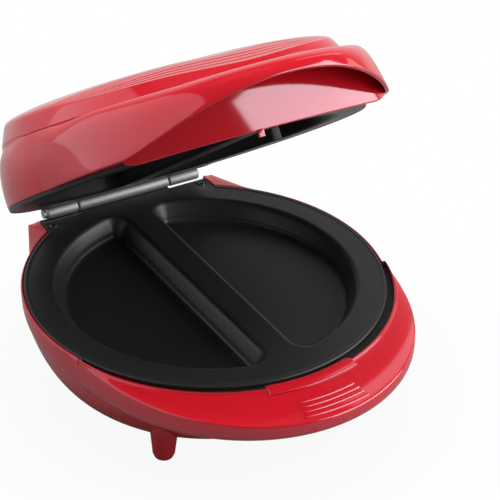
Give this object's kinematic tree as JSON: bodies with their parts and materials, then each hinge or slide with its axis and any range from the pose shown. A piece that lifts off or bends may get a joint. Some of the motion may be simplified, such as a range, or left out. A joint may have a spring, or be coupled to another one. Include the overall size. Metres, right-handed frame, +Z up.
{
  "type": "electric omelette maker",
  "caption": "Red countertop omelette maker standing open: round base on legs, hinged domed lid with a peaked front handle, and two facing non-stick plates with half-round pans.",
  "frame": {"origin": "middle of the object's bounding box in X and Y, on the counter under the feet, with the lid open as pictured", "axes": "+Z up, -Y towards the user at the front handle, +Y to the hinge, +X to the user's right"},
  "size_m": [0.2194, 0.2756, 0.2432],
  "materials": {
    "red_shell": "gloss",
    "nonstick_black": "satin",
    "black_plastic": "matte",
    "cream_plastic": "matte",
    "steel": "brushed",
    "tinplate": "satin",
    "shield_aluminium": "satin",
    "fuse_brass": "satin",
    "lead_sleeve": "matte"
  },
  "bodies": {
    "base": {"base_shell": "red_shell", "bottom_cover": "black_plastic", "leg_front_left": "red_shell", "leg_front_right": "red_shell", "leg_rear_left": "red_shell", "leg_rear_right": "red_shell", "lower_plate": "nonstick_black", "hinge_pin": "steel", "lower_element": "steel", "lower_element_clips": "tinplate", "lower_heat_shield": "shield_aluminium", "thermostat": "black_plastic", "thermal_fuse": "fuse_brass", "fuse_strap": "tinplate", "terminal_block": "cream_plastic", "cord_gland": "black_plastic", "cord_clamp": "cream_plastic", "base_wiring": "lead_sleeve", "lower_plate_screws": "steel", "bottom_cover_screws": "steel", "cord_clamp_screws": "steel"},
    "lid": {"lid_shell": "red_shell", "lid_front_panel": "red_shell", "lid_latch_tab": "red_shell", "upper_plate": "nonstick_black", "upper_element": "steel", "upper_element_clips": "tinplate", "upper_heat_shield": "shield_aluminium", "lid_posts": "red_shell", "lid_wiring": "lead_sleeve", "upper_plate_screws": "steel", "upper_boss_screws": "steel"}
  },
  "joints": [
    {"name": "lid_hinge", "type": "hinge", "parent": "base", "child": "lid", "pos_m": [0, 0.11214, 0.069], "axis": [-1, 0, 0], "range_deg": [-37, 60]}
  ]
}
